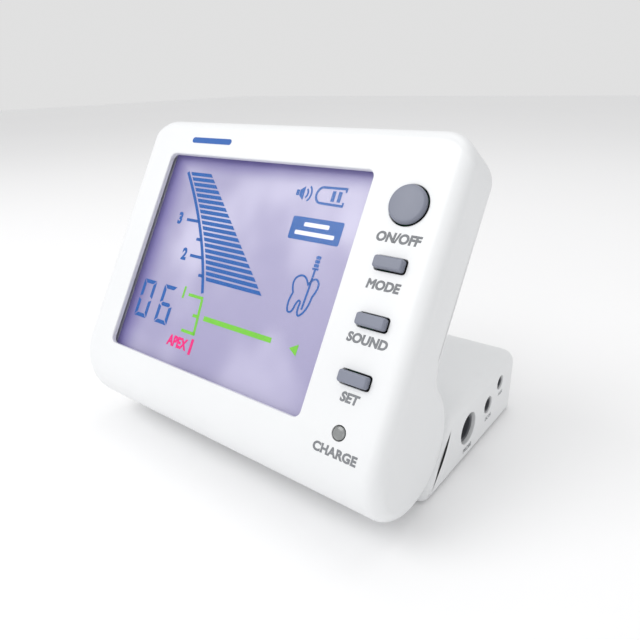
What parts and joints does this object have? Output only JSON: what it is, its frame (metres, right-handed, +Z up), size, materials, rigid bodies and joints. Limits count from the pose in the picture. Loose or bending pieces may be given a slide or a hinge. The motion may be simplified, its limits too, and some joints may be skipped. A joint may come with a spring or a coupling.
{
  "type": "apex locator",
  "caption": "Display head with a window, a round power button and oblong keys, tilting on a low battery base with side sockets.",
  "frame": {"origin": "on the surface that the feet stand on, under the middle of the whole object's bounding box", "axes": "+X to the user's right, +Y away from the user towards the rear of the base, +Z up"},
  "size_m": [0.126, 0.1, 0.1046],
  "materials": {
    "white_casing": "satin moulded white",
    "grey_keys": "blue-grey moulded",
    "window_pane": "clear acrylic",
    "lcd_cell": "lit colour display",
    "backlight": "milky diffuser",
    "inner_frame": "moulded",
    "circuit_board": "solder mask",
    "black_parts": "moulded black",
    "light_pipe": "smoked clear",
    "steel": "plated",
    "rubber": "matt",
    "battery_sleeve": "printed sleeve, plain"
  },
  "bodies": {
    "base": {"base_housing": "white_casing", "base_bottom_cover": "white_casing", "battery_door": "white_casing", "foot_1": "rubber", "foot_2": "rubber", "foot_3": "rubber", "foot_4": "rubber", "base_screw_1": "steel", "base_screw_2": "steel", "base_screw_3": "steel", "base_screw_4": "steel", "battery_cell_1": "battery_sleeve", "battery_cell_2": "battery_sleeve", "battery_contact_left": "steel", "battery_contact_right": "steel", "base_board": "circuit_board", "probe_socket": "black_parts", "charge_socket": "black_parts", "aux_socket": "black_parts"},
    "head": {"head_housing": "white_casing", "head_rear_cover": "white_casing", "head_screw_1": "steel", "head_screw_2": "steel", "head_screw_3": "steel", "head_screw_4": "steel", "display_window": "window_pane", "lcd_cell": "lcd_cell", "backlight": "backlight", "lcd_holder": "inner_frame", "main_board": "circuit_board", "buzzer": "black_parts", "controller_chip": "black_parts", "charge_led": "backlight", "charge_light_pipe": "light_pipe", "power_switch": "black_parts", "mode_switch": "black_parts", "sound_switch": "black_parts", "set_switch": "black_parts", "hinge_axle": "steel", "hinge_cable": "black_parts", "friction_washer_left": "steel", "friction_washer_right": "steel", "hinge_clip_left": "steel", "hinge_clip_right": "steel"},
    "power_button": {"power_button": "grey_keys"},
    "mode_key": {"mode_key": "grey_keys"},
    "sound_key": {"sound_key": "grey_keys"},
    "set_key": {"set_key": "grey_keys"}
  },
  "joints": [
    {"name": "head_tilt", "type": "hinge", "parent": "base", "child": "head", "pos_m": [0, -0.03, 0.0248], "axis": [-1, 0, 0], "range_deg": [-16.5, 57]},
    {"name": "power_press", "type": "slide", "parent": "head", "child": "power_button", "axis": [0, 0.8526, -0.5225], "range_m": [0, 0.0007], "stiffness_N_per_m": 1500},
    {"name": "mode_press", "type": "slide", "parent": "head", "child": "mode_key", "axis": [0, 0.8526, -0.5225], "range_m": [0, 0.0007], "stiffness_N_per_m": 1500},
    {"name": "sound_press", "type": "slide", "parent": "head", "child": "sound_key", "axis": [0, 0.8526, -0.5225], "range_m": [0, 0.0007], "stiffness_N_per_m": 1500},
    {"name": "set_press", "type": "slide", "parent": "head", "child": "set_key", "axis": [0, 0.8526, -0.5225], "range_m": [0, 0.0007], "stiffness_N_per_m": 1500}
  ]
}
